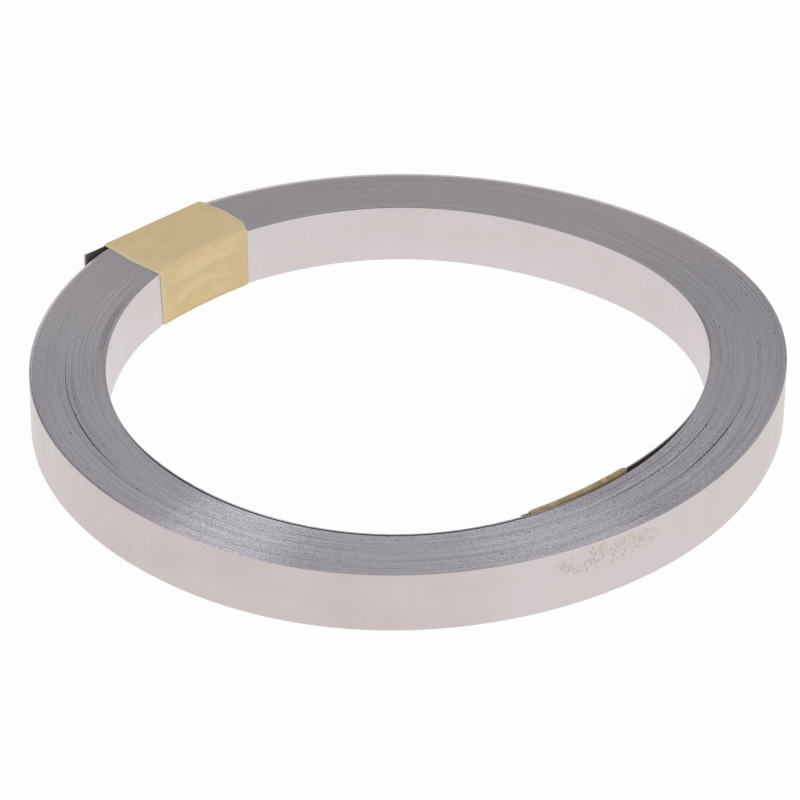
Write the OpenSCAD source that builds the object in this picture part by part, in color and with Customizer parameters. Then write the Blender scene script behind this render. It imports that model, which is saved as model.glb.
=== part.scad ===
// Coil of nickel strip that lies flat, bound with masking tape at its outer end
// The coil's axis is Z, the floor is at Z = 0, and azimuths run anticlockwise from +X

/* [Strip] */
// Width of the strip, which is the height of the lying coil
strip_w = 6; // [4:0.5:10]
// Thickness of the strip
strip_t = 0.12; // [0.1:0.01:0.2]
// Length of strip wound on the coil
strip_l = 10000; // [6000:500:14000]
// Mean air gap between neighbouring turns
turn_gap = 0.02; // [0.01:0.005:0.04]
// Break on the strip's slit edges, which shows each turn on the coil's ends
edge_break = 0.02; // [0.01:0.005:0.03]
// Bore of the coil
bore_d = 57.5; // [50:0.5:80]

/* [Free ends] */
// Azimuth at which the outer end leaves the coil
outer_end_az = 136; // [131:1:141]
// Length of the straight outer end past that point
outer_end_l = 8.2; // [7:0.1:10]
// Azimuth at which the inner end lifts off the bore
inner_lift_az = -18; // [-60:1:20]
// Angle from there to the inner end's tip
inner_end_span = 50; // [45:1:60]
// How far the inner end bows off a straight run from lift-off to tip
inner_bow = 0.3; // [0.2:0.05:1.2]

/* [Masking tape] */
// Width of the tape
tape_w = 12; // [10:0.5:13]
// Thickness of the tape
tape_t = 0.13; // [0.1:0.01:0.16]
// Azimuth of the middle of the band round the coil
band_az = 135.5; // [134:0.5:137]
// Length over which the band's end sticks to its start, on the coil's outside
lap_l = 2.5; // [1.5:0.5:3]
// Height of the band's end above the floor
lap_z = 1; // [0.5:0.5:1]
// Layers of tape on each side of the inner end
tab_layers = 2; // [1:1:3]
// Length of bare strip past the tape on the inner end
bare_tip = 0.9; // [0.3:0.1:2]
// Clearance between the taped inner end and the bore
tab_clearance = 0.1; // [0.05:0.05:0.3]

/* [Hidden] */
$fn = 96;

// The coil: whole turns of the strip, as many as its length starts
pitch = strip_t + turn_gap;
bore_r = bore_d / 2;
wound_r = sqrt(bore_r * bore_r + strip_l * pitch / PI);
turns = ceil((wound_r - bore_r) / pitch);
coil_r = bore_r + turns * pitch - turn_gap;
coil_z = tape_t;
notch_half = turn_gap / 2 + edge_break;
notch_depth = 3 * edge_break;

// What a notch leaves of a turn's edge, on the coil's outermost and innermost turn
edge_land = strip_t - edge_break;

// The outer end: a straight tangent, sunk in the last turn's edge where it starts
tail_sink = 0.4 * edge_land;
tail_root = 0.65 * edge_land;
tail_x = coil_r - tail_sink;
tail_start_y = sqrt(2 * coil_r * (tail_sink + strip_t - tail_root));

// The inner end: its stand-off from the bore, from lift-off at 0 to the tip at 1
inner_steps = 30;
bow_skew = 1.3;
root_lead = 0.03;
tab_t = tab_layers * tape_t;
tip_off = strip_t + tab_t + tab_clearance;
inner_end_l = bore_r * inner_end_span * PI / 180;
tab_from = 1 - (tape_w + bare_tip) / inner_end_l;
tab_to = 1 - bare_tip / inner_end_l;

function stand_off(u) = tip_off * u + inner_bow * sin(180 * pow(u, bow_skew));
function inner_point(u, r) =
    let (a = inner_lift_az - u * inner_end_span)
    [r * cos(a), r * sin(a)];
function step_between(u0, u1, i) = u0 + (u1 - u0) * i / inner_steps;

// Points along one face of the inner end, a distance grow outside that face
function inner_face(u0, u1, grow) = [
    for (i = [0 : inner_steps])
        let (u = step_between(u0, u1, i))
        inner_point(u, bore_r - stand_off(u) - grow)
];
// The outer face stays inside the first turn until the end has left the bore
function outer_face(u0, u1, grow) = [
    for (i = [inner_steps : -1 : 0])
        let (u = step_between(u0, u1, i), left = strip_t - stand_off(u))
        inner_point(u, bore_r + min(left, edge_land / 2) + grow)
];

// One notch between two turns, on the end at height z, cut in the direction of dir
function notch(k, z, dir) =
    let (r = bore_r + k * pitch - turn_gap / 2)
    [[r - notch_half, z], [r, z + dir * notch_depth], [r + notch_half, z]];

function coil_section(z0, z1) = concat(
    [[bore_r, z0]],
    [for (k = [1 : turns - 1]) each notch(k, z0, 1)],
    [[coil_r, z0], [coil_r, z1]],
    [for (k = [turns - 1 : -1 : 1]) let (n = notch(k, z1, -1)) each [n[2], n[1], n[0]]],
    [[bore_r, z1]]
);

module wound_turns() {
    rotate_extrude()
        polygon(coil_section(coil_z, coil_z + strip_w));
}

module outer_end() {
    rotate(outer_end_az)
        translate([0, 0, coil_z])
            linear_extrude(strip_w)
                polygon([
                    [tail_x, 0],
                    [tail_x, outer_end_l],
                    [tail_x - strip_t, outer_end_l],
                    [tail_x - strip_t, tail_start_y]
                ]);
}

module inner_end() {
    root = inner_point(-root_lead, bore_r + edge_land / 2);
    translate([0, 0, coil_z])
        linear_extrude(strip_w)
            polygon(concat([root], inner_face(root_lead, 1, 0), outer_face(root_lead, 1, 0)));
}

module strip_coil() {
    color("silver")
    union() {
        wound_turns();
        outer_end();
        inner_end();
    }
}

// Outline, seen from above, of the coil's outside and its outer end, grown by tape
module outside_outline(grow) {
    circle(coil_r + grow);
    rotate(outer_end_az)
        square([tail_x + grow, outer_end_l]);
}

module bound_outline(grow) {
    difference() {
        outside_outline(grow);
        circle(bore_r - grow);
    }
}

module band_strip() {
    rotate(band_az)
        translate([0, -tape_w / 2])
            square([2 * coil_r, tape_w]);
}

module band_loop() {
    difference() {
        linear_extrude(strip_w + 2 * tape_t)
            intersection() {
                bound_outline(tape_t);
                band_strip();
            }
        translate([0, 0, coil_z])
            linear_extrude(strip_w)
                bound_outline(0);
    }
}

module band_lap() {
    translate([0, 0, lap_z])
        linear_extrude(lap_l)
            intersection() {
                difference() {
                    outside_outline(2 * tape_t);
                    outside_outline(tape_t);
                }
                band_strip();
            }
}

module band_tape() {
    color("tan")
    union() {
        band_loop();
        band_lap();
    }
}

module inner_end_tape() {
    color("tan")
    difference() {
        linear_extrude(strip_w + 2 * tape_t)
            polygon(concat(inner_face(tab_from, tab_to, tab_t), outer_face(tab_from, tab_to, tab_t)));
        inner_end();
    }
}

strip_coil();
band_tape();
inner_end_tape();
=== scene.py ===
"""Looks of a coil of nickel strip that lies flat, bound with masking tape, on its CAD frame.

Sizes are in millimetres until a mesh is made. The coil's axis is Z, the floor is at Z = 0,
and azimuths run anticlockwise from +X, in degrees.
"""

import logging
import math
from dataclasses import dataclass, field
from enum import IntEnum
from typing import Any, Callable, Union

import bpy
import numpy as np
from mathutils import Matrix, Vector


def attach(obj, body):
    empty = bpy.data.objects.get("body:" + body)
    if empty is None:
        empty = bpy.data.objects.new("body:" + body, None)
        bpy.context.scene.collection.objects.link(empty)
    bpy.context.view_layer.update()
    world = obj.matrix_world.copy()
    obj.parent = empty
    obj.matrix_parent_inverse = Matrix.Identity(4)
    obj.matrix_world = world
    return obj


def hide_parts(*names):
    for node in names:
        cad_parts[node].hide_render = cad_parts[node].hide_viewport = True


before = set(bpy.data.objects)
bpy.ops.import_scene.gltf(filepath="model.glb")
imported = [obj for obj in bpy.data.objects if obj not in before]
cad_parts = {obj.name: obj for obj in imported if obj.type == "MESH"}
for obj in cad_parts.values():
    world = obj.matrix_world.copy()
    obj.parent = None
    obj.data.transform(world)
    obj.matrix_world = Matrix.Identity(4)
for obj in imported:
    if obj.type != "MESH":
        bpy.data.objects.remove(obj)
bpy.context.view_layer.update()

MM = 0.001
log = logging.getLogger("nickel_strip")

Operand = Union["Value", float]
Pair = tuple[float, float]
Colour = tuple[float, float, float]
# Start, end and ramp of a window
Stretch = tuple[float, float, float]


def smooth_step(x: np.ndarray) -> np.ndarray:
    """Eases from 0 at x = 0 to 1 at x = 1."""
    x = np.clip(x, 0.0, 1.0)
    return x * x * (3.0 - 2.0 * x)


def window(x: np.ndarray, start: float, end: float, ramp: float) -> np.ndarray:
    """A smooth window over a range.

    Args:
        x: Where to evaluate it.
        start: Where it begins to rise from 0.
        end: Where it is back at 0.
        ramp: Length over which it rises, and falls.

    Returns:
        Values from 0 to 1.
    """
    return smooth_step((x - start) / ramp) * smooth_step((end - x) / ramp)


def line_noise(rng: np.random.Generator, at: np.ndarray, spacing: float) -> np.ndarray:
    """Seeded smooth noise along a line.

    Args:
        rng: Source of the random values.
        at: Distances along the line, from 0 up.
        spacing: Distance over which the noise changes.

    Returns:
        One value for each distance, with mean 0 and spread about 1.
    """
    knots = rng.standard_normal(int(at.max() / spacing) + 3)
    cell = (at / spacing).astype(int)
    blend = smooth_step(at / spacing - cell)
    return knots[cell] * (1.0 - blend) + knots[cell + 1] * blend


def grid_noise(rng: np.random.Generator, rows: np.ndarray, columns: np.ndarray) -> np.ndarray:
    """Seeded smooth noise on a grid.

    Args:
        rng: Source of the random values.
        rows: Coordinates of the rows, in cells of the noise, from 0 up.
        columns: Coordinates of the columns, in cells of the noise, from 0 up.

    Returns:
        Values from -1 to 1, one row for each of the rows.
    """
    knots = rng.uniform(-1.0, 1.0, (int(rows.max()) + 2, int(columns.max()) + 2))
    i, j = rows.astype(int), columns.astype(int)
    fi = smooth_step(rows - i)[:, None]
    fj = smooth_step(columns - j)[None, :]
    low = knots[np.ix_(i, j)] * (1.0 - fj) + knots[np.ix_(i, j + 1)] * fj
    high = knots[np.ix_(i + 1, j)] * (1.0 - fj) + knots[np.ix_(i + 1, j + 1)] * fj
    return low * (1.0 - fi) + high * fi


def arithmetic(operation: str, reflected: bool = False) -> Callable[["Value", Operand], "Value"]:
    """Makes an operator of a shader value.

    Args:
        operation: The maths node's operation.
        reflected: Whether the value is the second term.

    Returns:
        The method.
    """

    def apply(value: "Value", other: Operand) -> "Value":
        """Returns the result of the operation on the value and the other term."""
        terms = (other, value) if reflected else (value, other)
        return value.graph.math(operation, *terms)

    return apply


class Value:
    """A shader socket that takes part in arithmetic."""

    __add__, __radd__ = arithmetic("ADD"), arithmetic("ADD", True)
    __sub__, __rsub__ = arithmetic("SUBTRACT"), arithmetic("SUBTRACT", True)
    __mul__, __rmul__ = arithmetic("MULTIPLY"), arithmetic("MULTIPLY", True)
    __truediv__, __rtruediv__ = arithmetic("DIVIDE"), arithmetic("DIVIDE", True)

    def __init__(self, graph: "Graph", socket: bpy.types.NodeSocket) -> None:
        """Wraps a socket of the graph."""
        self.graph = graph
        self.socket = socket


def weighted(weights: tuple[float, ...], *values: Value) -> Value:
    """Returns the sum of some shader values, each times its weight."""
    first, *others = (value * weight for value, weight in zip(values, weights))
    return sum(others, first)


class Graph:
    """A node tree that is written as expressions."""

    def __init__(self, tree: bpy.types.NodeTree) -> None:
        """Takes over the tree and empties it."""
        self.tree = tree
        tree.nodes.clear()

    def node(
        self,
        kind: str,
        settings: dict[str, Any] | None = None,
        inputs: dict[Any, Any] | None = None,
    ) -> bpy.types.Node:
        """Adds any node.

        Args:
            kind: The node's type.
            settings: Properties to set on it, before its sockets.
            inputs: Values or links for its input sockets, by name or number.

        Returns:
            The node.
        """
        made = self.tree.nodes.new(kind)
        for name, setting in (settings or {}).items():
            setattr(made, name, setting)
        for name, value in (inputs or {}).items():
            self.feed(made.inputs[name], value)
        return made

    def feed(self, socket: bpy.types.NodeSocket, value: Any) -> None:
        """Links a value to a socket, or sets the socket to a constant.

        Args:
            socket: The input socket.
            value: The value, output socket or constant.
        """
        if isinstance(value, Value):
            self.tree.links.new(value.socket, socket)
        elif isinstance(value, bpy.types.NodeSocket):
            self.tree.links.new(value, socket)
        elif isinstance(value, tuple) and socket.type == "RGBA":
            socket.default_value = (*value, 1.0)
        else:
            socket.default_value = value

    def value(self, made: bpy.types.Node, output: Any = 0) -> Value:
        """Returns one output of a node for use in arithmetic."""
        return Value(self, made.outputs[output])

    def math(self, operation: str, *terms: Operand) -> Value:
        """Returns the result of a maths operation on its terms, in order."""
        made = self.node("ShaderNodeMath", {"operation": operation}, dict(enumerate(terms)))
        return self.value(made)

    def absolute(self, x: Value) -> Value:
        """Returns a value without its sign."""
        return self.math("ABSOLUTE", x)

    def vector(self, x: Operand, y: Operand, z: Operand) -> Value:
        """Returns a vector of three values."""
        return self.value(self.node("ShaderNodeCombineXYZ", None, {0: x, 1: y, 2: z}))

    def blend(self, share: Operand, first: Any, second: Any) -> Value:
        """Mixes two colours.

        Args:
            share: Share of the second colour.
            first: The first colour.
            second: The second colour.

        Returns:
            The mixed colour.
        """
        made = self.node("ShaderNodeMix", {"data_type": "RGBA"}, {0: share, 6: first, 7: second})
        return self.value(made, 2)

    def scale(self, colour: Any, share: Operand) -> Value:
        """Returns a colour or vector times a value."""
        made = self.node("ShaderNodeVectorMath", {"operation": "SCALE"}, {0: colour, 3: share})
        return self.value(made)

    def attribute(self, name: str) -> Value:
        """Returns a mesh attribute's value."""
        return self.value(self.node("ShaderNodeAttribute", {"attribute_name": name}), "Fac")

    def noise(self, at: Value, detail: float, size: float = 1.0) -> Value:
        """Returns noise from 0 to 1 at a vector, with features of about that size."""
        made = self.node(
            "ShaderNodeTexNoise", None, {"Vector": at, "Scale": 1.0 / size, "Detail": detail}
        )
        return self.value(made, "Fac")

    def rise(self, x: Value, low: float, high: float) -> Value:
        """Eases from 0 to 1.

        Args:
            x: What is read.
            low: Where the result is 0.
            high: Where the result is 1. It may be less than low.

        Returns:
            The eased value.
        """
        sign = 1.0 if high > low else -1.0
        made = self.node(
            "ShaderNodeMapRange",
            {"interpolation_type": "SMOOTHSTEP"},
            {"Value": x * sign, "From Min": low * sign, "From Max": high * sign},
        )
        return self.value(made)

    def bump(self, height: Value, distance: float, strength: float = 1.0) -> Value:
        """Returns a normal for a height in units of a distance in millimetres."""
        made = self.node(
            "ShaderNodeBump",
            None,
            {"Height": height, "Distance": distance * MM, "Strength": strength},
        )
        return self.value(made)


@dataclass(frozen=True)
class Pattern:
    """Noise over a surface: its waves to a unit along and across, its seed and its detail."""

    along: float
    across: float
    seed: float
    detail: float

    def over(self, graph: Graph, along: Value, across: Value) -> Value:
        """Returns the noise, from 0 to 1, at places along and across the surface."""
        spot = graph.vector(along * self.along, across * self.across, self.seed)
        return graph.noise(spot, self.detail)


@dataclass(frozen=True)
class Arc:
    """Part of the coil, in degrees: its middle, half of its length, and of its full part."""

    middle: float
    half: float
    full_half: float
    weight: float = 1.0

    def over(self, graph: Graph, azimuth: Value) -> Value:
        """Returns the weight within the arc, which eases to 0 at its ends."""
        off = graph.absolute(azimuth - self.middle)
        return graph.rise(off, self.half, self.full_half) * self.weight


class Finish:
    """A procedural surface, made once."""

    name: str = "finish"

    def material(self) -> bpy.types.Material:
        """Makes the material the first time, and finds it after that.

        Returns:
            The material.
        """
        found = bpy.data.materials.get(self.name)
        if found:
            return found
        made = bpy.data.materials.new(self.name)
        made.use_nodes = True
        graph = Graph(made.node_tree)
        shader = graph.node("ShaderNodeBsdfPrincipled", None, self.sockets(graph))
        graph.node("ShaderNodeOutputMaterial", None, {"Surface": shader.outputs[0]})
        return made

    def sockets(self, graph: Graph) -> dict[str, Operand]:
        """Returns what the shader's sockets are fed, by name."""
        raise NotImplementedError

    @staticmethod
    def place(graph: Graph) -> tuple[Value, Value, Value]:
        """Where a point lies on the coil, in the row frame.

        Args:
            graph: Where the nodes go.

        Returns:
            Azimuth in degrees, and radius and height in millimetres.
        """
        spot = graph.node("ShaderNodeTexCoord").outputs["Object"]
        parts = graph.node("ShaderNodeSeparateXYZ", None, {0: spot})
        x, y, z = (graph.value(parts, i) for i in range(3))
        azimuth = graph.math("ARCTAN2", y, x) * (180.0 / math.pi)
        radius = graph.math("SQRT", x * x + y * y) * (1.0 / MM)
        return azimuth, radius, z * (1.0 / MM)


@dataclass(frozen=True)
class RolledNickel(Finish):
    """A face of the strip: satin, faintly streaked and clouded by the rolls."""

    name: str = "rolled_inside"
    # Painted light: this inner face is lighter than the outer face, for how the light falls on the
    # bore's wall
    colour: Colour = (0.702, 0.639, 0.647)
    shade_colour: Colour = (0.653, 0.586, 0.589)
    contrast: float = 0.16
    smoothest: float = 0.28
    roughness_spread: float = 0.12
    relief: float = 0.012
    relief_mix: Pair = (1.0, 0.6)
    tone_mix: tuple[float, ...] = (0.15, 0.3, 0.15, 0.4)
    streaks: Pattern = Pattern(0.02, 2.6, 0.0, 3.0)
    bands: Pattern = Pattern(0.16, 0.05, 3.0, 2.0)
    ripple: Pattern = Pattern(0.9, 0.16, 7.0, 2.0)
    cloud: Pattern = Pattern(0.12, 0.35, 11.0, 4.0)
    # Painted shade: a dark, dull coat on the free outer end's inner face, by the length that is
    # left to the tip
    painted_end_shade: Colour = (0.085, 0.066, 0.062)
    painted_end_shade_dulls: float = 0.9
    painted_end_shade_ends: Pair = (8.6, 7.6)
    unshaded_tip: float = 0.12

    def sockets(self, graph: Graph) -> dict[str, Operand]:
        """Works out what changes over the face.

        Args:
            graph: Where the nodes go.

        Returns:
            What the shader's sockets are fed, by name.
        """
        along = graph.attribute("along")
        _, _, height = self.place(graph)
        streaks = self.streaks.over(graph, along, height)
        bands = self.bands.over(graph, along, height)
        ripple = self.ripple.over(graph, along, height)
        cloud = self.cloud.over(graph, along, height)
        tone = weighted(self.tone_mix, streaks, bands, ripple, cloud)
        light = graph.rise(tone, 0.5 - self.contrast, 0.5 + self.contrast)
        colour = graph.blend(light, self.shade_colour, self.colour)
        return {
            "Base Color": self.marked(graph, colour),
            # Painted shade on the free outer end also makes it less metallic
            "Metallic": 1.0 - self.painted_end_shade_share(graph) * self.painted_end_shade_dulls,
            "Roughness": cloud * self.roughness_spread + self.smoothest,
            "Normal": graph.bump(weighted(self.relief_mix, streaks, ripple), self.relief),
        }

    def painted_end_shade_share(self, graph: Graph) -> Operand:
        """Returns the share of painted shade, a dark, dull coat on the free outer end's inner face.
        """
        left = graph.attribute("left")
        return graph.rise(left, *self.painted_end_shade_ends) * graph.rise(left, 0.0, self.unshaded_tip)

    def marked(self, graph: Graph, colour: Value) -> Value:
        """Returns the colour with the painted shade on it."""
        return graph.blend(self.painted_end_shade_share(graph), colour, self.painted_end_shade)


@dataclass(frozen=True)
class ScuffedNickel(RolledNickel):
    """The strip's outer face, with rows of short scuffs where the coil was handled."""

    name: str = "rolled_outside"
    colour: Colour = (0.637, 0.568, 0.570)
    shade_colour: Colour = (0.594, 0.530, 0.517)
    contrast: float = 0.11
    # Painted light: the wall made brighter towards the front right, by azimuth
    painted_light: Colour = (0.70, 0.632, 0.645)
    painted_light_from: Pair = (-88.0, -70.0)
    painted_light_to: Pair = (-5.0, -60.0)
    painted_light_share: float = 0.6
    # Stain on the scuffed patch, by height
    stain: Colour = (0.60, 0.48, 0.39)
    stain_heights: Pair = (3.6, 5.2)
    stain_share: float = 0.3
    scuff: Colour = (0.35, 0.28, 0.25)
    scuff_share: float = 0.7
    # Cells of the dashes along and up, and each dash's place, size and odds in its cell
    dash: Pair = (0.34, 0.42)
    dash_along: Pair = (0.3, 0.4)
    dash_up: Pair = (0.35, 0.3)
    dash_length: Pair = (0.34, 0.12)
    dash_thickness: Pair = (0.46, 0.24)
    dash_odds: Pair = (0.2, 0.7)
    second_draw: float = 7.0
    stagger: float = 0.37
    slant: float = 0.25
    # Azimuth and height of the scuffed patch, and how it ends
    patch_at: Pair = (-58.3, 4.45)
    patch_half: Pair = (10.0, 1.5)
    patch_radii: Pair = (33.5, 34.0)
    patch_fade: Pair = (1.1, 0.6)
    patch_rag: Pair = (0.34, 0.52)
    drift: Pattern = Pattern(0.55, 0.7, 17.0, 2.0)

    def painted_end_shade_share(self, graph: Graph) -> Operand:
        """Returns no painted shade, which this face doesn't get."""
        return 0.0

    def marked(self, graph: Graph, colour: Value) -> Value:
        """Adds the scuffs, the stain above them and painted light that brightens the wall round
        them.

        Args:
            graph: Where the nodes go.
            colour: The colour of the face.

        Returns:
            The colour with the marks on it.
        """
        azimuth, radius, height = self.place(graph)
        patch = self.patch(graph, azimuth, radius, height)
        # Painted light, brighter towards the front right of the wall
        lit_share = graph.rise(azimuth, *self.painted_light_from) * graph.rise(azimuth, *self.painted_light_to)
        colour = graph.blend(lit_share * self.painted_light_share, colour, self.painted_light)
        stained = patch * graph.rise(height, *self.stain_heights)
        colour = graph.blend(stained * self.stain_share, colour, self.stain)
        scuffed = self.dashes(graph, height) * patch
        return graph.blend(scuffed * self.scuff_share, colour, self.scuff)

    def patch(self, graph: Graph, azimuth: Value, radius: Value, height: Value) -> Value:
        """Where the outermost turn is scuffed.

        Args:
            graph: Where the nodes go.
            azimuth: Azimuth in degrees.
            radius: Radius in millimetres.
            height: Height in millimetres.

        Returns:
            1 in the patch, which has a ragged edge, and 0 elsewhere.
        """
        drift = self.drift.over(graph, graph.attribute("along"), height)
        off_az = (azimuth - self.patch_at[0]) / self.patch_half[0]
        off_z = (height - self.patch_at[1]) / self.patch_half[1]
        return (
            graph.rise(off_az * off_az + off_z * off_z, *self.patch_fade)
            * graph.rise(drift, *self.patch_rag)
            * graph.rise(radius, *self.patch_radii)
        )

    def dashes(self, graph: Graph, height: Value) -> Value:
        """Short dashes in slanting rows, one to a cell at random.

        Args:
            graph: Where the nodes go.
            height: Height in millimetres.

        Returns:
            Their strength, from 0 to 1.
        """
        row = height * (1.0 / self.dash[1])
        rank = graph.math("FLOOR", row)
        step = graph.attribute("along") * (1.0 / self.dash[0])
        column = step + rank * self.stagger + height * self.slant
        cell = graph.vector(graph.math("FLOOR", column), rank, 0.0)
        drawn = graph.node("ShaderNodeTexWhiteNoise", None, {"Vector": cell})
        chance = graph.value(drawn, "Value")
        other = graph.math("FRACT", chance * self.second_draw)
        u = graph.math("FRACT", column) - self.dash_along[0] - chance * self.dash_along[1]
        v = graph.math("FRACT", row) - self.dash_up[0] - other * self.dash_up[1]
        long = graph.rise(graph.absolute(u), *self.dash_length)
        thick = graph.rise(graph.absolute(v), *self.dash_thickness)
        return long * thick * graph.rise(chance, *self.dash_odds)


@dataclass(frozen=True)
class SlitEdge(Finish):
    """The strip's cut edges: grey and finely grained, a little different from turn to turn."""

    name: str = "slit_edge"
    colour: Colour = (0.360, 0.344, 0.375)
    dark: Colour = (0.220, 0.210, 0.229)
    smoothest: float = 0.12
    roughness_spread: float = 0.1
    relief: float = 0.02
    burr_relief: Pair = (0.45, 0.3)
    grain_relief: float = 0.15
    tone_mix: Pair = (0.5, 0.5)
    tone_range: Pair = (0.3, 0.7)
    turn: Pattern = Pattern(0.035, 0.0, 0.0, 2.0)
    grain: Pattern = Pattern(6.0, 7.2, 2.0, 2.0)
    speckle: Pattern = Pattern(6.5, 8.0, 5.0, 0.0)
    lines: Pattern = Pattern(0.1, 5.0, 5.0, 1.0)
    # Painted glints: shares of turn, speckle and lines in the tone contrast that is raised in the
    # arcs where the highlights fall, and those arcs, which also get more relief
    glint_speckle_mix: tuple[float, ...] = (0.6, 1.05, 0.3)
    glint_arcs: tuple[Arc, Arc] = (Arc(-50.0, 42.0, 24.0), Arc(-117.0, 20.0, 9.0, 0.8))
    speck: Colour = (0.10, 0.085, 0.085)
    speck_share: float = 0.8
    dust: Pattern = Pattern(1.5, 3.6, 20.0, 0.0)
    dust_range: Pair = (0.76, 0.81)
    # Painted highlight: a bright rim on the edges at the back, by azimuth and by the length that is
    # left to the outer tip
    rim: Colour = (0.66, 0.61, 0.62)
    highlight_azimuth: float = 105.0
    highlight_facing: Pair = (0.0, 0.6)
    highlight_length: float = 340.0
    highlight_inner_share: float = 0.14
    # Turns beside the free outer end, which have no painted highlight
    tail: Arc = Arc(141.0, 11.0, 8.0)
    tail_length: Pair = (8.7, 9.2)

    def sockets(self, graph: Graph) -> dict[str, Operand]:
        """Works out what changes over the edges.

        Args:
            graph: Where the nodes go.

        Returns:
            What the shader's sockets are fed, by name.
        """
        along = graph.attribute("along")
        azimuth, radius, _ = self.place(graph)
        turn = self.turn.over(graph, along, radius)
        grain = self.grain.over(graph, along, radius)
        speckle = self.speckle.over(graph, along, radius)
        lines = self.lines.over(graph, azimuth, radius)
        dust = self.dust.over(graph, along, radius)
        glint_arcs = self.glint_arcs[0].over(graph, azimuth) + self.glint_arcs[1].over(graph, azimuth)
        # Painted glints: tone contrast raised in the arcs where the highlights fall
        painted_glints = weighted(self.glint_speckle_mix, turn, speckle, lines)
        painted_glints = (painted_glints - 0.5 * sum(self.glint_speckle_mix)) * glint_arcs
        tone = weighted(self.tone_mix, turn, grain) + painted_glints
        colour = graph.blend(graph.rise(tone, *self.tone_range), self.dark, self.colour)
        specks = graph.rise(dust, *self.dust_range) * self.speck_share
        colour = graph.blend(specks, colour, self.speck)
        relief = weighted(self.burr_relief, lines, speckle) * glint_arcs + grain * self.grain_relief
        return {
            # Painted highlight: the bright rim on the edges at the back
            "Base Color": graph.blend(self.painted_highlight_share(graph, azimuth), colour, self.rim),
            "Metallic": 1.0,
            "Roughness": grain * self.roughness_spread + self.smoothest,
            "Normal": graph.bump(relief, self.relief),
        }

    def painted_highlight_share(self, graph: Graph, azimuth: Value) -> Value:
        """Share of the painted highlight, a bright rim on the edges at the back, most of all on the
        last turns.

        Args:
            graph: Where the nodes go.
            azimuth: Azimuth in degrees.

        Returns:
            The share of the painted highlight, which is least beside the free outer end.
        """
        off = (azimuth - self.highlight_azimuth) * (math.pi / 180.0)
        behind = graph.rise(graph.math("COSINE", off), *self.highlight_facing)
        left = graph.attribute("left")
        outer = graph.rise(left, 2.0 * self.highlight_length, self.highlight_length)
        covered = self.tail.over(graph, azimuth) * graph.rise(left, *self.tail_length)
        inner = self.highlight_inner_share
        return behind * (outer * (1.0 - covered) * (1.0 - inner) + inner)


@dataclass(frozen=True)
class CrepePaper(Finish):
    """Masking tape: creped tan paper, paler along its cut edges, with painted light where it stands
    off.
    """

    name: str = "crepe_paper"
    colour: Colour = (0.663, 0.525, 0.296)
    deep: Colour = (0.602, 0.461, 0.241)
    edge: Colour = (0.64, 0.575, 0.42)
    edge_share: float = 0.5
    edge_width: float = 0.6
    half_width: float = 6.0
    # Painted light: paler where the tape stands off, on its raised ridges
    loose: Colour = (0.74, 0.61, 0.39)
    ridge_light_share: float = 0.36
    ridge_light_heights: Pair = (0.06, 0.30)
    smoothest: float = 0.62
    roughness_spread: float = 0.2
    relief: float = 0.10
    relief_strength: float = 0.16
    relief_mix: Pair = (1.0, 0.3)
    tone_mix: tuple[float, ...] = (0.4, 0.4, 0.2)
    tone_range: Pair = (0.32, 0.68)
    crepe: Pattern = Pattern(2.6, 0.7, 0.0, 3.0)
    mottle: Pattern = Pattern(0.5, 0.5, 4.0, 3.0)
    fibre: Pattern = Pattern(9.0, 9.0, 8.0, 2.0)

    def sockets(self, graph: Graph) -> dict[str, Operand]:
        """Works out what changes over the tape.

        Args:
            graph: Where the nodes go.

        Returns:
            What the shader's sockets are fed, by name.
        """
        along = graph.attribute("tape_s")
        across = graph.attribute("tape_y")
        crepe = self.crepe.over(graph, along, across)
        mottle = self.mottle.over(graph, along, across)
        fibre = self.fibre.over(graph, along, across)
        tone = weighted(self.tone_mix, crepe, mottle, fibre)
        colour = graph.blend(graph.rise(tone, *self.tone_range), self.deep, self.colour)
        # Painted light on the ridges that stand off
        off = graph.rise(graph.attribute("tape_off"), *self.ridge_light_heights)
        colour = graph.blend(off * self.ridge_light_share, colour, self.loose)
        rim = graph.rise(graph.absolute(across), self.half_width - self.edge_width, self.half_width)
        colour = graph.blend(rim * self.edge_share, colour, self.edge)
        creased = weighted(self.relief_mix, crepe, fibre)
        return {
            "Base Color": self.marked(graph, colour, mottle),
            "Roughness": fibre * self.roughness_spread + self.smoothest,
            "Normal": graph.bump(creased, self.relief, self.relief_strength),
        }

    def marked(self, graph: Graph, colour: Value, mottle: Value) -> Value:
        """Returns the colour with the tape's marks, of which this tape has none."""
        return colour


@dataclass(frozen=True)
class BrownedShadedPaper(CrepePaper):
    """Masking tape that is browner, with painted shade on its side towards the coil, where it lies
    in a narrow gap.
    """

    name: str = "crepe_paper_end"
    colour: Colour = (0.55, 0.455, 0.29)
    deep: Colour = (0.36, 0.275, 0.15)
    edge: Colour = (0.60, 0.53, 0.38)
    edge_width: float = 0.4
    # Painted shade, partly browning of the tape, by the distance outwards through the tape
    shade_and_browning: Colour = (0.15, 0.10, 0.045)
    shade_and_browning_share: float = 0.8
    shade_and_browning_range: Pair = (-0.12, 0.30)
    blotch: Pattern = Pattern(2.2, 2.2, 6.0, 2.0)
    blotch_mix: Pair = (0.6, 0.6)
    blotch_reach: float = 0.9

    def marked(self, graph: Graph, colour: Value, mottle: Value) -> Value:
        """Adds painted shade, partly browning of the tape, which ends in blotches towards the bore.

        Args:
            graph: Where the nodes go.
            colour: The colour of the tape.
            mottle: The tape's broad mottling.

        Returns:
            The colour with the soil on it.
        """
        along, across = graph.attribute("tape_s"), graph.attribute("tape_y")
        blotch = weighted(self.blotch_mix, self.blotch.over(graph, along, across), mottle)
        blotch = (blotch - 0.5 * sum(self.blotch_mix)) * self.blotch_reach
        outwards = graph.rise(graph.attribute("tape_n") + blotch, *self.shade_and_browning_range)
        # Painted shade with browning, on the side towards the coil
        return graph.blend(outwards * self.shade_and_browning_share, colour, self.shade_and_browning)


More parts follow.
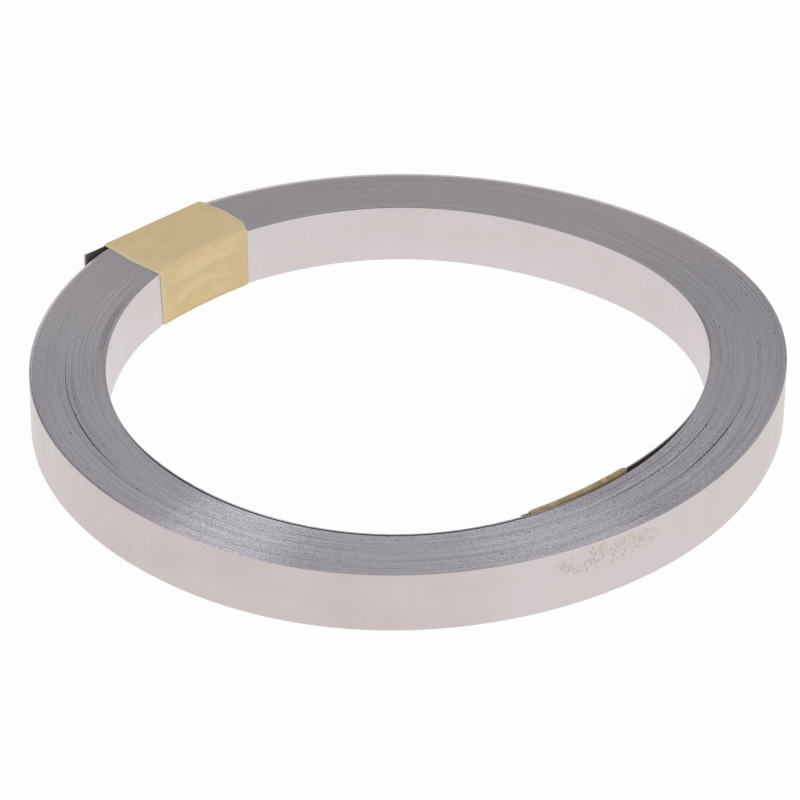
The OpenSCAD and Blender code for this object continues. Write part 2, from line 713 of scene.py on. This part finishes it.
@dataclass(frozen=True)
class OutOfRound:
    """How far the coil strays from true circles, as waves round its axis: count, sine, cosine."""

    bore_r: float = 28.75
    coil_r: float = 35.73
    reach: float = 1.2
    bore: tuple[tuple[int, float, float], ...] = (
        (0, 0.0, -0.139),
        (1, -0.307, -0.069),
        (2, 0.442, -0.055),
        (3, 0.356, 0.276),
        (4, 0.080, 0.114),
        (5, 0.039, -0.004),
        (6, 0.021, -0.083),
    )
    outside: tuple[tuple[int, float, float], ...] = (
        (2, 0.499, 0.281),
        (3, 0.405, 0.209),
        (4, 0.085, 0.051),
        (5, 0.025, -0.039),
        (6, 0.048, -0.028),
    )

    def bend(self, points: np.ndarray) -> np.ndarray:
        """Moves points outwards or inwards.

        Args:
            points: Points on a true coil, along the last axis.

        Returns:
            The points on the real one.
        """
        angle = np.arctan2(points[..., 1], points[..., 0])
        radius = np.hypot(points[..., 0], points[..., 1])
        share = (radius - self.bore_r) / (self.coil_r - self.bore_r)
        share = np.clip(share, 0.0, self.reach)
        move = (1.0 - share) * self.sum(self.bore, angle) + share * self.sum(self.outside, angle)
        grow = 1.0 + move / radius
        return points * np.stack([grow, grow, np.ones_like(grow)], axis=-1)

    @staticmethod
    def sum(waves: tuple[tuple[int, float, float], ...], angle: np.ndarray) -> np.ndarray:
        """Adds up some waves.

        Args:
            waves: Count round the axis, sine and cosine of each.
            angle: Angles in radians.

        Returns:
            The sum at each angle.
        """
        total = np.zeros_like(angle)
        for count, sine, cosine in waves:
            total += sine * np.sin(count * angle) + cosine * np.cos(count * angle)
        return total


@dataclass
class Piece:
    """One visible piece, which stands for a CAD node."""

    name: str
    node: str
    slot: str
    shape: OutOfRound

    def mesh(self, points: np.ndarray, faces: list[tuple[int, ...]]) -> bpy.types.Mesh:
        """Makes the piece's mesh.

        Args:
            points: Points on a true coil, in millimetres.
            faces: The faces, as numbers of points.

        Returns:
            The mesh, out of round and in metres.
        """
        made = bpy.data.meshes.new(self.name)
        made.from_pydata((self.shape.bend(points) * MM).tolist(), [], faces)
        return made

    @staticmethod
    def mark(mesh: bpy.types.Mesh, name: str, values: np.ndarray) -> None:
        """Gives each point of a mesh a value that finishes read."""
        made = mesh.attributes.new(name, "FLOAT", "POINT")
        made.data.foreach_set("value", values.astype(np.float32).ravel())

    def join(self, mesh: bpy.types.Mesh) -> bpy.types.Object:
        """Adds the piece to the scene in place of its CAD node.

        Args:
            mesh: The finished mesh.

        Returns:
            The piece.
        """
        made = bpy.data.objects.new(self.name, mesh)
        bpy.context.scene.collection.objects.link(made)
        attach(made, "root")
        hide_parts(self.node)
        return made

    def build(self) -> bpy.types.Object:
        """Builds, dresses and adds the piece."""
        raise NotImplementedError


@dataclass(frozen=True)
class Loose:
    """A stretch of one turn, counted from the bore, that isn't wound tight."""

    turn: int
    az_from: float
    az_to: float
    amount: float
    ramp: float

    def along(self, az: np.ndarray) -> np.ndarray:
        """How far the stretch strays at each unwrapped azimuth."""
        return self.amount * window(az - 360.0 * self.turn, self.az_from, self.az_to, self.ramp)


@dataclass
class FreeEnd:
    """The strip's inner end, which stands off the bore from its lift-off at 0 to its tip at 1."""

    bore_r: float = 28.75
    lift_az: float = -17.0
    span: float = 51.4
    tip_off: float = 0.30
    bow: float = 0.42
    skew: float = 1.3

    @property
    def length(self) -> float:
        """Length of the end along the bore."""
        return self.bore_r * math.radians(self.span)

    def azimuth(self, u: np.ndarray) -> np.ndarray:
        """Azimuth at each place along the end."""
        return self.lift_az - u * self.span

    def radius(self, u: np.ndarray) -> np.ndarray:
        """Radius of the inner face at each place along the end."""
        bowed = self.bow * np.sin(math.pi * np.clip(u, 0.0, 1.0) ** self.skew)
        return self.bore_r - self.tip_off * u - bowed


class Face(IntEnum):
    """The strip's two rolled faces, as sides of its section."""

    OUTER = 3
    INNER = 7


@dataclass
class StripCoil(Piece):
    """The strip, wound from its inner end to its straight outer end."""

    end: FreeEnd = field(default_factory=FreeEnd)
    width: float = 6.0
    thickness: float = 0.127
    coil_r: float = 35.73
    base_z: float = 0.13
    whole_turns: int = 49
    leave_az: float = 136.0
    tail_length: float = 8.6
    tail_held: float = 6.4
    tail_flare: float = 0.05
    steps: int = 120
    end_steps: int = 33
    tail_steps: int = 12
    # Steps of the broken corners: in from the outer face and up from the edge
    edge_break: tuple[Pair, Pair] = ((0.034, 0.011), (0.006, 0.018))
    gaps: tuple[Loose, ...] = (
        Loose(27, 303.0, 354.0, 0.045, 14.0),
        Loose(27, 322.0, 344.0, 0.07, 8.0),
        Loose(13, 300.0, 349.0, 0.085, 13.0),
        Loose(42, 302.0, 322.0, 0.07, 7.0),
        Loose(6, 300.0, 338.0, 0.055, 10.0),
        Loose(4, 294.0, 318.0, 0.04, 8.0),
        Loose(34, 338.0, 354.0, 0.03, 6.0),
        Loose(1, 0.0, 24.0, 0.05, 8.0),
        Loose(26, 176.0, 218.0, 0.045, 12.0),
        Loose(26, 195.0, 220.0, 0.065, 9.0),
        Loose(30, 208.0, 229.0, 0.055, 7.0),
        Loose(23, 186.0, 210.0, 0.03, 8.0),
        Loose(48, 185.0, 232.0, 0.05, 12.0),
        Loose(3, 152.0, 186.0, 0.04, 12.0),
        Loose(4, 154.0, 184.0, 0.04, 12.0),
        Loose(5, 152.0, 182.0, 0.04, 12.0),
    )
    lift: Loose = Loose(0, 200.0, 312.0, 0.19, 26.0)
    # Unevenness of the winding, of the turns' heights, and of turns that stand proud
    jitter: float = 0.002
    jitter_angle: float = 25.0
    rise_spread: float = 0.003
    rise_lengths: Pair = (30.0, 9.0)
    rise_fine_share: float = 0.35
    rise_limit: float = 0.05
    proud_height: float = 0.05
    proud_length: float = 22.0
    proud_over: float = 1.9
    proud_limit: float = 1.2
    # Azimuths that the band of tape presses flat
    bound: Stretch = (114.0, 156.0, 8.0)
    seed: int = 11

    def section(self) -> np.ndarray:
        """Outline of the strip's cross-section, with the corners of its outer face broken.

        Returns:
            Distance outwards and height of each corner.
        """
        t, w = self.thickness, self.width
        (b1, c1), (b2, c2) = self.edge_break
        return np.array([
            (0.0, 0.0), (t - b1, 0.0), (t - b2, c1), (t, c2),
            (t, w - c2), (t - b2, w - c1), (t - b1, w), (0.0, w),
        ])

    def wound(self, rng: np.random.Generator) -> tuple[np.ndarray, np.ndarray]:
        """The wound turns.

        Args:
            rng: Source of the random values.

        Returns:
            Unwrapped azimuth, and radius of the inner face, for each step.
        """
        n = self.steps
        start, stop = self.end.lift_az, self.leave_az + 360.0 * self.whole_turns
        count = round((stop - start) / 360.0 * n)
        az = start + 360.0 / n * np.arange(count + 1)
        turn = (az - start) / 360.0
        depth = self.coil_r - self.thickness - self.end.bore_r
        radius = self.end.bore_r + depth * turn / turn[-1]
        pushed = sum(gap.along(az) for gap in self.gaps)
        for i in range(n, len(pushed)):
            pushed[i] += pushed[i - n]
        last = pushed[-n:][(np.arange(len(az)) - len(az)) % n]
        loose = line_noise(rng, turn * 360.0, self.jitter_angle) * self.jitter
        radius += pushed - last * turn / turn[-1]
        return az, radius - self.lift.along(az) + loose

    def path(self) -> tuple[np.ndarray, np.ndarray, np.ndarray, np.ndarray]:
        """The whole strip, from its inner tip to its outer end.

        Returns:
            Points on the inner face in plan, outward directions, rise and distance along.
        """
        rng = np.random.default_rng(self.seed)
        az, radius = self.wound(rng)
        u = np.linspace(1.0, 0.0, self.end_steps + 1)[:-1]
        turned = np.radians(np.concatenate([self.end.azimuth(u), az]))
        radius = np.concatenate([self.end.radius(u), radius])
        outward = np.stack([np.cos(turned), np.sin(turned)], axis=1)
        plan = outward * radius[:, None]
        tail = np.linspace(0.0, self.tail_length, self.tail_steps + 1)[1:, None]
        ahead = np.array([[-outward[-1, 1], outward[-1, 0]]])
        flare = 0.5 * self.tail_flare * np.maximum(tail - self.tail_held, 0.0) ** 2
        plan = np.concatenate([plan, plan[-1:] + ahead * tail + outward[-1:] * flare])
        outward = np.concatenate([outward, np.repeat(outward[-1:], len(tail), axis=0)])
        along = np.concatenate([[0.0], np.cumsum(np.linalg.norm(np.diff(plan, axis=0), axis=1))])
        return plan, outward, self.rise(rng, plan, along), along

    def rise(self, rng: np.random.Generator, plan: np.ndarray, along: np.ndarray) -> np.ndarray:
        """How far the strip stands above its place, which is nowhere under the band of tape.

        Args:
            rng: Source of the random values.
            plan: Points on the inner face in plan.
            along: Distance of each along the strip.

        Returns:
            The rise at each point.
        """
        broad, fine = (line_noise(rng, along, length) for length in self.rise_lengths)
        uneven = (broad + fine * self.rise_fine_share) * self.rise_spread
        proud = line_noise(rng, along, self.proud_length) - self.proud_over
        proud = np.clip(proud, 0.0, self.proud_limit) * self.proud_height
        free = 1.0 - window(np.degrees(np.arctan2(plan[:, 1], plan[:, 0])), *self.bound)
        return (np.clip(uneven, -self.rise_limit, self.rise_limit) + proud) * free

    def build(self) -> bpy.types.Object:
        """Builds, dresses and adds the piece.

        Returns:
            The piece.
        """
        plan, outward, rise, along = self.path()
        section = self.section()
        rows, columns = len(plan), len(section)
        points = np.empty((rows, columns, 3))
        points[..., :2] = plan[:, None, :] + outward[:, None, :] * section[None, :, :1]
        points[..., 2] = self.base_z + section[None, :, 1] + rise[:, None]
        k, j = np.meshgrid(np.arange(rows - 1), np.arange(columns), indexing="ij")
        after = (j + 1) % columns
        here, there = k * columns, (k + 1) * columns
        quads = np.stack([here + j, there + j, there + after, here + after], axis=-1)
        faces = [tuple(q) for q in quads.reshape(-1, 4).tolist()]
        faces.append(tuple(range(columns)))
        faces.append(tuple(range(rows * columns - 1, (rows - 1) * columns - 1, -1)))
        mesh = self.mesh(points.reshape(-1, 3), faces)
        self.mark(mesh, "along", np.repeat(along, columns))
        self.mark(mesh, "left", np.repeat(along[-1] - along, columns))
        self.dress(mesh, j.ravel(), columns)
        return self.join(mesh)

    @staticmethod
    def dress(mesh: bpy.types.Mesh, side: np.ndarray, columns: int) -> None:
        """Gives the faces their finishes, and the section sharp corners.

        Args:
            mesh: The strip's mesh.
            side: Which side of the section each quad lies on.
            columns: Number of points round the section.
        """
        for finish in (SlitEdge(), ScuffedNickel(), RolledNickel()):
            mesh.materials.append(finish.material())
        sides = (side == Face.OUTER) + 2 * (side == Face.INNER)
        slots = np.concatenate([sides, [0, 0]]).astype(np.int32)
        mesh.polygons.foreach_set("material_index", slots)
        ends = np.empty(len(mesh.edges) * 2, dtype=np.int32)
        mesh.edges.foreach_get("vertices", ends)
        corner = ends.reshape(-1, 2) % columns
        made = mesh.attributes.new("sharp_edge", "BOOLEAN", "EDGE")
        made.data.foreach_set("value", corner[:, 0] == corner[:, 1])
        mesh.polygons.foreach_set("use_smooth", np.ones(len(mesh.polygons), dtype=bool))
        mesh.update()


class Side(IntEnum):
    """Sides of the section that a tape is wound round, in the order that it takes them."""

    OUTSIDE = 0
    TOP = 1
    INSIDE = 2
    BOTTOM = 3


@dataclass
class TapeWrap(Piece):
    """A length of tape wound round something with a rectangular section."""

    width: float = 12.0
    thickness: float = 0.125
    film: float = 0.005
    feather: Pair = (0.75, 0.35)
    columns: int = 41
    flat_rows: int = 22
    bend_rows: int = 7
    flat_share: float = 0.8
    row_gap: float = 0.01
    sharp_angle: float = 50.0
    # Start, stop and climb of a new layer, in sides from the foot of the outside
    start: float = 0.0
    stop: float = 4.0
    settle: float = 0.12
    # Radius of the bend after each side
    bends: tuple[float, float, float, float] = (0.2, 0.2, 0.2, 0.2)
    tightening: float = 0.0
    low: float = 0.13
    high: float = 6.13
    seed: int = 5
    finish: CrepePaper = CrepePaper()

    def across(self) -> np.ndarray:
        """Distance of each column from the middle of the tape, closer together at its edges."""
        return 0.5 * self.width * np.sin(np.linspace(-0.5, 0.5, self.columns) * math.pi)

    def faces_at(self, p: float, y: np.ndarray) -> tuple[np.ndarray, np.ndarray]:
        """Distances of the inside and outside faces that the tape lies on, at one row."""
        raise NotImplementedError

    def place(self, n: np.ndarray, y: np.ndarray, z: np.ndarray) -> np.ndarray:
        """Points of a true coil at distances outwards, across the tape and up."""
        raise NotImplementedError

    def swell(self, wound: np.ndarray, y: np.ndarray, z: np.ndarray) -> np.ndarray:
        """How far the tape stands out from its lay, for each row and column."""
        return np.zeros((len(wound), len(y)))

    def shift(self, wound: np.ndarray, y: np.ndarray) -> np.ndarray:
        """How far the tape strays sideways, for each row and column."""
        return np.zeros((len(wound), len(y)))

    def rows(self) -> np.ndarray:
        """Places of the rows, closer together in the bends.

        Returns:
            The places, in sides from the foot of the outside.
        """
        flat = np.linspace(0.0, self.flat_share, self.flat_rows, endpoint=False)
        bend = np.linspace(self.flat_share, 1.0, self.bend_rows, endpoint=False)
        laps = np.arange(math.floor(self.start), math.ceil(self.stop))[:, None]
        every = (laps + np.concatenate([flat, bend])).ravel()
        inside = every[(every > self.start + self.row_gap) & (every < self.stop - self.row_gap)]
        return np.concatenate([[self.start], inside, [self.stop]])

    def lay(self, p: float, y: np.ndarray) -> tuple[np.ndarray, np.ndarray, float, float]:
        """Where the tape's line lies at one row.

        Args:
            p: The row's place, in sides.
            y: The columns.

        Returns:
            Distance outwards and height of each column, and the outward direction.
        """
        inside, outside = self.faces_at(p, y)
        side, part = Side(int(math.floor(p)) % len(Side)), p % 1.0
        tight = 1.0 - self.tightening * (2.0 * y / self.width) ** 2
        before, after = self.bends[side - 1] * tight, self.bends[side] * tight
        spin = math.radians(90.0 * side)
        along = min(part / self.flat_share, 1.0)
        bent = max(0.0, (part - self.flat_share) / (1.0 - self.flat_share))
        turn = spin + math.radians(90.0) * bent
        dn, dz = math.cos(turn), math.sin(turn)
        n_mid, z_mid = after * (dn - math.cos(spin)), after * (dz - math.sin(spin))
        if side is Side.OUTSIDE:
            z = self.low + before + (self.high - after - self.low - before) * along
            return outside + n_mid, z + z_mid, dn, dz
        if side is Side.TOP:
            n = outside - before + (inside + after - outside + before) * along
            return n + n_mid, self.high + z_mid, dn, dz
        if side is Side.INSIDE:
            z = self.high - before + (self.low + after - self.high + before) * along
            return inside + n_mid, z + z_mid, dn, dz
        n = inside + before + (outside - after - inside - before) * along
        return n + n_mid, self.low + z_mid, dn, dz

    def layers(self, p: np.ndarray) -> np.ndarray:
        """Counts the layers of tape under each row.

        Args:
            p: The rows' places, in sides.

        Returns:
            The number of layers, which eases in at each lap.
        """
        under = np.zeros_like(p)
        for lap in range(1, int((self.stop - self.start) // len(Side)) + 1):
            under += smooth_step((p - self.start - len(Side) * lap) / self.settle + 1.0)
        return under

    def build(self) -> bpy.types.Object:
        """Builds, dresses and adds the piece.

        Returns:
            The piece.
        """
        p, y = self.rows(), self.across()
        lays = zip(*(self.lay(row, y) for row in p))
        n, z, dn, dz = (np.array(part) for part in lays)
        dn, dz = dn[:, None], dz[:, None]
        middle = self.columns // 2
        steps = np.hypot(np.diff(n[:, middle]), np.diff(z[:, middle]))
        run = np.concatenate([[0.0], np.cumsum(steps)])
        swell = self.swell(p, y, z)
        under = self.film + self.layers(p)[:, None] * self.thickness + swell
        across = y[None, :] + self.shift(p, y)
        share, reach = self.feather
        thin = 1.0 - share * smooth_step((np.abs(y) - 0.5 * self.width) / reach + 1.0)
        shells = [
            self.place(n + dn * out, across, z + dz * out)
            for out in (under + self.thickness * thin, under)
        ]
        mesh = self.mesh(np.concatenate([s.reshape(-1, 3) for s in shells]), self.shell(len(p)))
        self.mark(mesh, "tape_s", np.tile(np.repeat(run, self.columns), 2))
        self.mark(mesh, "tape_y", np.tile(y, 2 * len(p)))
        self.mark(mesh, "tape_off", np.tile(swell.ravel(), 2))
        self.mark(mesh, "tape_n", np.tile((n + dn * under).ravel(), 2))
        mesh.materials.append(self.finish.material())
        mesh.polygons.foreach_set("use_smooth", np.ones(len(mesh.polygons), dtype=bool))
        mesh.set_sharp_from_angle(angle=math.radians(self.sharp_angle))
        return self.join(mesh)

    def shell(self, rows: int) -> list[tuple[int, ...]]:
        """Faces of the tape's two sides and its four edges.

        Args:
            rows: Number of rows on each side.

        Returns:
            The faces, with their normals outwards.
        """
        c = self.columns
        index = np.arange(rows * c).reshape(rows, c)
        a, b, d, e = index[:-1, :-1], index[1:, :-1], index[1:, 1:], index[:-1, 1:]
        outer = np.stack([a, e, d, b], axis=-1).reshape(-1, 4)
        inner = np.stack([a, b, d, e], axis=-1).reshape(-1, 4) + rows * c
        faces = [tuple(f) for f in np.concatenate([outer, inner]).tolist()]
        rim = np.concatenate([index[0, :], index[1:, -1], index[-1, -2::-1], index[-2:0:-1, 0]])
        for first, second in zip(rim.tolist(), np.roll(rim, -1).tolist()):
            faces.append((second, first, first + rows * c, second + rows * c))
        return faces


@dataclass(frozen=True)
class Crease:
    """A ridge across the tape's inner run, arched: its top's height and place, fall and size."""

    top: float
    middle: float
    fall: float
    above: float
    below: float
    amount: float


@dataclass
class BandTape(TapeWrap):
    """The tape round the coil that holds the outer end down."""

    azimuth: float = 135.5
    bore_r: float = 28.805
    coil_r: float = 35.73
    tail_turn: float = 0.5
    # Lift of the right edge off the outside, and of the right corner on the top
    right_lift: float = 0.2
    right_lift_from: float = 2.5
    right_lift_ramp: float = 3.5
    top_lift: float = 0.14
    top_lift_from: float = 3.0
    top_lift_ramp: float = 3.0
    top_lift_run: Stretch = (1.1, 2.05, 0.2)
    start: float = 0.13
    stop: float = 4.45
    settle: float = 0.13
    bends: tuple[float, float, float, float] = (0.25, 1.2, 0.6, 0.2)
    tightening: float = 0.85
    # Where the edges lie across the band, by place in sides
    left_edge: tuple[Pair, ...] = (
        (0.0, 6.2), (1.0, 6.35), (1.4, 6.55), (1.8, 6.3),
        (2.0, 6.2), (2.8, 5.8), (3.2, 5.8), (4.0, 6.2),
    )
    right_edge: tuple[Pair, ...] = (
        (1.0, -6.4), (1.23, -6.6), (1.44, -6.6), (1.65, -6.45),
        (1.8, -5.7), (2.0, -5.65), (2.8, -5.75),
    )
    ripple: float = 0.03
    ripple_mean: float = 1.6
    ripple_cells: Pair = (3.2, 0.25)
    ripple_run: Stretch = (1.05, 3.0, 0.3)
    creases: tuple[Crease, ...] = (
        Crease(4.95, -1.0, 0.012, 0.8, 0.5, 0.23),
        Crease(3.2, 0.2, 0.075, 0.45, 0.55, 0.22),
    )
    crease_run: Stretch = (1.84, 2.8, 0.1)
    crease_span: Stretch = (-5.8, 5.8, 2.5)

    def edges(self, p: Any) -> tuple[Any, Any]:
        """Where the tape's right and left edges lie, at one row or more."""
        return np.interp(p, *zip(*self.right_edge)), np.interp(p, *zip(*self.left_edge))

    def faces_at(self, p: float, y: np.ndarray) -> tuple[np.ndarray, np.ndarray]:
        """Distances of the faces that the tape lies on, at one row.

        Args:
            p: The row's place, in sides.
            y: The columns.

        Returns:
            Distances of the inside and of the outside, for each column.
        """
        right, left = (math.sqrt(self.bore_r**2 - edge**2) for edge in self.edges(p))
        chord = right + (left - right) * (y / self.width + 0.5)
        turn = math.radians(self.tail_turn)
        tail = self.coil_r * math.cos(turn) - (y - self.coil_r * math.sin(turn)) * math.sin(turn)
        lift = smooth_step((-y - self.right_lift_from) / self.right_lift_ramp)
        ring = np.sqrt(self.coil_r**2 - y**2) + self.right_lift * lift
        return chord, np.where(y > 0.0, np.maximum(tail, ring), ring)

    def place(self, n: np.ndarray, y: np.ndarray, z: np.ndarray) -> np.ndarray:
        """Points of a true coil.

        Args:
            n: Distances outwards.
            y: Distances across the tape.
            z: Heights.

        Returns:
            The points, along the last axis.
        """
        turn = math.radians(self.azimuth)
        c, s = math.cos(turn), math.sin(turn)
        return np.stack([n * c - y * s, n * s + y * c, z], axis=-1)

    def swell(self, wound: np.ndarray, y: np.ndarray, z: np.ndarray) -> np.ndarray:
        """How far the tape stands out from its lay: ripples, creases and a raised corner.

        Args:
            wound: The rows' places, in sides.
            y: The columns.
            z: Height of each row and column.

        Returns:
            The distance for each row and column.
        """
        rng = np.random.default_rng(self.seed)
        rows = (wound - wound[0]) * self.ripple_cells[0]
        columns = (y + 0.5 * self.width) * self.ripple_cells[1]
        ripple = grid_noise(rng, rows * 2.0, columns * 2.0) + grid_noise(rng, rows, columns)
        ripple = (ripple + self.ripple_mean) * window(wound, *self.ripple_run)[:, None]
        inside = window(wound, *self.crease_run)[:, None] * window(y, *self.crease_span)[None, :]
        folds = np.zeros_like(z)
        for crease in self.creases:
            arch = crease.top - crease.fall * (y - crease.middle) ** 2
            off = z - arch[None, :]
            width = np.where(off > 0.0, crease.above, crease.below)
            folds += crease.amount * np.exp(-((off / width) ** 2))
        pressed = 1.0 - (np.abs(y) / (0.5 * self.width))[None, :] ** 4
        corner = smooth_step((-y - self.top_lift_from) / self.top_lift_ramp)
        raised = window(wound, *self.top_lift_run)[:, None] * corner[None, :]
        return pressed * (self.ripple * ripple + inside * folds) + self.top_lift * raised

    def shift(self, wound: np.ndarray, y: np.ndarray) -> np.ndarray:
        """How far the tape strays sideways, so that its edges lie in their places.

        Args:
            wound: The rows' places, in sides.
            y: The columns.

        Returns:
            The distance for each row and column.
        """
        right, left = self.edges(wound)
        share = (y / self.width + 0.5)[None, :]
        return right[:, None] + (left - right)[:, None] * share - y[None, :]


@dataclass
class InnerEndTape(TapeWrap):
    """The tape wound twice round the strip's inner end."""

    end: FreeEnd = field(default_factory=FreeEnd)
    bare_tip: float = 0.9
    strip_thickness: float = 0.127
    press: float = 0.45
    start: float = 2.3
    stop: float = 10.7
    settle: float = 0.25
    flat_rows: int = 8
    bend_rows: int = 4
    bends: tuple[float, float, float, float] = (0.05, 0.05, 0.05, 0.05)
    finish: CrepePaper = BrownedShadedPaper()

    def faces_at(self, p: float, y: np.ndarray) -> tuple[np.ndarray, np.ndarray]:
        """Distances of the inside and outside faces that the tape lies on, at one row."""
        return np.zeros_like(y), np.full_like(y, self.strip_thickness)

    def place(self, n: np.ndarray, y: np.ndarray, z: np.ndarray) -> np.ndarray:
        """Points of a true coil.

        Args:
            n: Distances outwards.
            y: Distances across the tape.
            z: Heights.

        Returns:
            The points, along the last axis.
        """
        u = 1.0 - (self.bare_tip + 0.5 * self.width + y) / self.end.length
        angle, radius = np.radians(self.end.azimuth(u)), self.end.radius(u) + n
        under = np.minimum(z - self.low, 0.0)
        over = np.maximum(z - self.high, 0.0)
        height = z - (under + over) * (1.0 - self.press)
        return np.stack([radius * np.cos(angle), radius * np.sin(angle), height], axis=-1)


@dataclass(frozen=True)
class Camera:
    """The camera, fitted to the coil's edges in the photograph."""

    elevation: float = 32.807
    roll: float = 0.453
    distance: float = 435.967
    side: float = -0.582
    lift: float = 1.116
    base_z: float = 0.13
    lens: float = 205.06
    sensor: float = 36.0
    clip: Pair = (0.01, 20.0)

    def build(self) -> bpy.types.Object:
        """Adds the camera and makes it the scene's.

        Returns:
            The camera.
        """
        data = bpy.data.cameras.new("camera")
        data.lens, data.sensor_width = self.lens, self.sensor
        data.clip_start, data.clip_end = self.clip
        e = math.radians(self.elevation)
        back = Vector((0.0, -math.cos(e), math.sin(e)))
        up = Vector((0.0, math.sin(e), math.cos(e)))
        right = Vector((1.0, 0.0, 0.0))
        spot = right * self.side + up * self.lift + back * self.distance
        spot.z += self.base_z
        roll = Matrix.Rotation(math.radians(self.roll), 3, "Z")
        turn = Matrix((right, up, back)).transposed() @ roll
        made = bpy.data.objects.new("camera", data)
        made.matrix_world = Matrix.Translation(spot * MM) @ turn.to_4x4()
        bpy.context.scene.collection.objects.link(made)
        bpy.context.scene.camera = made
        return made


@dataclass(frozen=True)
class SoftBox:
    """A square lamp that faces the coil, with the light that it gives a surface facing it."""

    name: str
    azimuth: float
    elevation: float
    level: float
    size: float
    mirrored: bool = True
    distance: float = 0.8

    def build(self) -> bpy.types.Object:
        """Adds the lamp, unseen by the camera and, if it isn't mirrored, by the metal.

        Returns:
            The lamp.
        """
        data = bpy.data.lights.new(self.name, "AREA")
        data.shape, data.size = "SQUARE", self.size
        data.energy = self.level * math.pi**2 * self.distance**2
        a, e = math.radians(self.azimuth), math.radians(self.elevation)
        away = Vector((math.cos(a) * math.cos(e), math.sin(a) * math.cos(e), math.sin(e)))
        made = bpy.data.objects.new(self.name, data)
        made.location = away * self.distance
        made.rotation_euler = away.to_track_quat("Z", "Y").to_euler()
        made.visible_camera = False
        made.visible_glossy = self.mirrored
        bpy.context.scene.collection.objects.link(made)
        return made


@dataclass(frozen=True)
class Studio:
    """A pale floor in a white room with soft boxes."""

    ambient: float = 0.52
    floor_colour: Colour = (0.9, 0.9, 0.9)
    floor_glow: float = 0.95
    floor_half: float = 4.0
    floor_grain: float = 0.02
    floor_grain_size: float = 0.05
    floor_grain_detail: float = 2.0
    boxes: tuple[SoftBox, ...] = (
        SoftBox("lamp_left", 133.0, 64.3, 0.053, 0.21),
        SoftBox("lamp_right", 43.5, 66.2, 0.032, 0.25),
        SoftBox("lamp_back", 94.0, 75.5, 0.018, 0.3),
        SoftBox("lamp_front", -75.0, 27.0, 0.57, 0.5, mirrored=False),
    )

    def build(self) -> None:
        """Adds the world, the floor and the lamps."""
        self.world()
        self.floor()
        for box in self.boxes:
            box.build()

    @staticmethod
    def seen(graph: Graph, to_camera: float) -> Value:
        """How much of the bare white of the room a ray sees.

        Args:
            graph: Where the nodes go.
            to_camera: Share that the camera sees.

        Returns:
            That share to the camera, 1 in reflections and through glass, and otherwise 0.
        """
        rays = graph.node("ShaderNodeLightPath")
        total = (
            graph.value(rays, "Is Camera Ray") * to_camera
            + graph.value(rays, "Is Glossy Ray")
            + graph.value(rays, "Is Transmission Ray")
        )
        return graph.math("MINIMUM", total, 1.0)

    def world(self) -> None:
        """Makes the room white to the camera and in reflections, and softer as a light."""
        made = bpy.data.worlds.new("room")
        made.use_nodes = True
        bpy.context.scene.world = made
        graph = Graph(made.node_tree)
        level = self.seen(graph, 1.0) * (1.0 - self.ambient) + self.ambient
        white = graph.node(
            "ShaderNodeBackground", None, {"Color": (1.0, 1.0, 1.0), "Strength": level}
        )
        graph.node("ShaderNodeOutputWorld", None, {"Surface": white.outputs[0]})

    def floor(self) -> bpy.types.Object:
        """Adds the floor, which keeps a light shadow.

        Returns:
            The floor.
        """
        h = self.floor_half
        mesh = bpy.data.meshes.new("floor")
        corners = [(-h, -h, 0.0), (h, -h, 0.0), (h, h, 0.0), (-h, h, 0.0)]
        mesh.from_pydata(corners, [], [(0, 1, 2, 3)])
        made = bpy.data.objects.new("floor", mesh)
        bpy.context.scene.collection.objects.link(made)
        finish = bpy.data.materials.new("floor")
        finish.use_nodes = True
        graph = Graph(finish.node_tree)
        spot = graph.node("ShaderNodeTexCoord").outputs["Object"]
        grain = graph.noise(Value(graph, spot), self.floor_grain_detail, self.floor_grain_size)
        pale = grain * self.floor_grain + (1.0 - 0.5 * self.floor_grain)
        matt = graph.node(
            "ShaderNodeBsdfDiffuse", None, {"Color": graph.scale(self.floor_colour, pale)}
        )
        glow = graph.node("ShaderNodeEmission", None, {"Color": (1.0, 1.0, 1.0), "Strength": 1.0})
        share = self.seen(graph, self.floor_glow)
        mixed = graph.node(
            "ShaderNodeMixShader", None, {0: share, 1: matt.outputs[0], 2: glow.outputs[0]}
        )
        graph.node("ShaderNodeOutputMaterial", None, {"Surface": mixed.outputs[0]})
        mesh.materials.append(finish)
        return made


def main() -> None:
    """Builds the pieces, the studio and the camera."""
    logging.basicConfig(level=logging.INFO, format="%(message)s")
    shape = OutOfRound()
    pieces: list[Piece] = [
        StripCoil("wound_strip", "strip_coil", "nickel", shape),
        BandTape("band", "band_tape", "masking_tape", shape),
        InnerEndTape("inner_end_band", "inner_end_tape", "masking_tape", shape),
    ]
    for piece in pieces:
        made = piece.build()
        made.data.calc_loop_triangles()
        log.info("%s: %d triangles", made.name, len(made.data.loop_triangles))
    Studio().build()
    Camera().build()
    bpy.context.scene.view_settings.view_transform = "Standard"
    bpy.context.view_layer.update()


if __name__ == "__main__":
    main()
